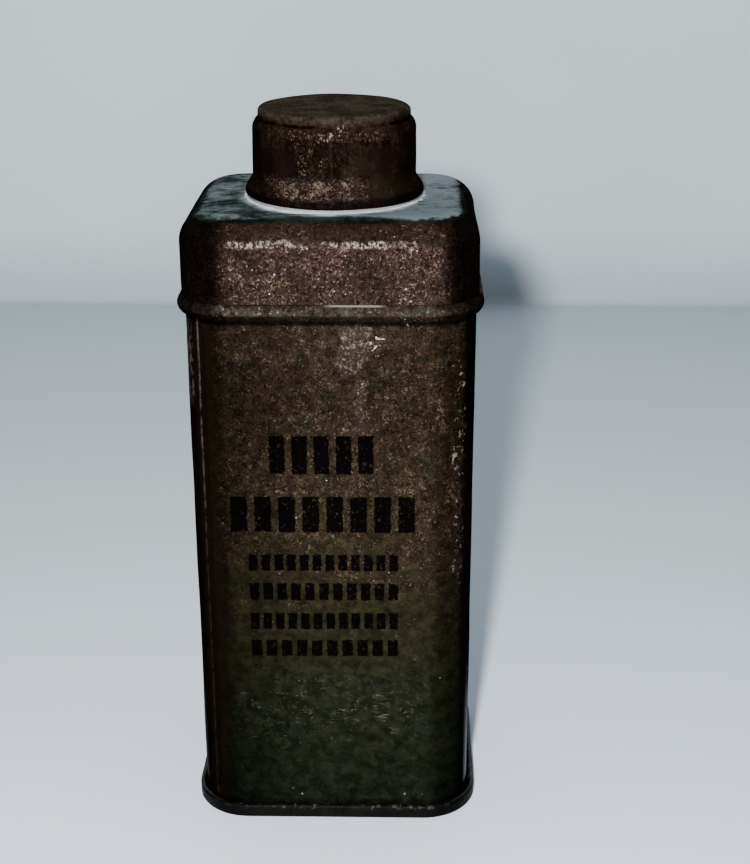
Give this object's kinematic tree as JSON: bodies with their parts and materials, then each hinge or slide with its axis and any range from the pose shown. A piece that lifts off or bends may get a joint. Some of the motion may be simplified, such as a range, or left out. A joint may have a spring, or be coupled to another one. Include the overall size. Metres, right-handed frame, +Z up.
{
  "type": "sifter-top powder tin",
  "caption": "Small oblong tinplate powder tin with rounded corners, a pressed-on breast, a rolled bead and a round slip cap over its sifter neck.",
  "frame": {"origin": "middle of the footprint, on the surface the tin stands on", "axes": "+Z up along the neck and cap, +X along the wide side, -Y out of the printed front panel"},
  "size_m": [0.047, 0.0404, 0.115],
  "materials": {
    "body_paint": "worn olive paint with speckled rust",
    "rusted_paint": "dark paint, mostly rusted through",
    "tinplate": "dull bare tinplate",
    "solder": "dull soft solder",
    "seam_compound": "matt",
    "pulpboard": "waxed, matt"
  },
  "bodies": {
    "tin": {"body_sleeve": "body_paint", "side_seam_solder": "solder", "base_end": "body_paint", "base_seam_sealant": "seam_compound", "breast": "rusted_paint", "neck": "tinplate", "neck_solder": "solder", "sifter_plate": "tinplate"},
    "cap": {"cap_shell": "rusted_paint", "cap_liner": "pulpboard"}
  },
  "joints": [
    {"name": "cap_lift", "type": "slide", "parent": "tin", "child": "cap", "axis": [0, 0, 1], "range_m": [0, 0.03]}
  ]
}
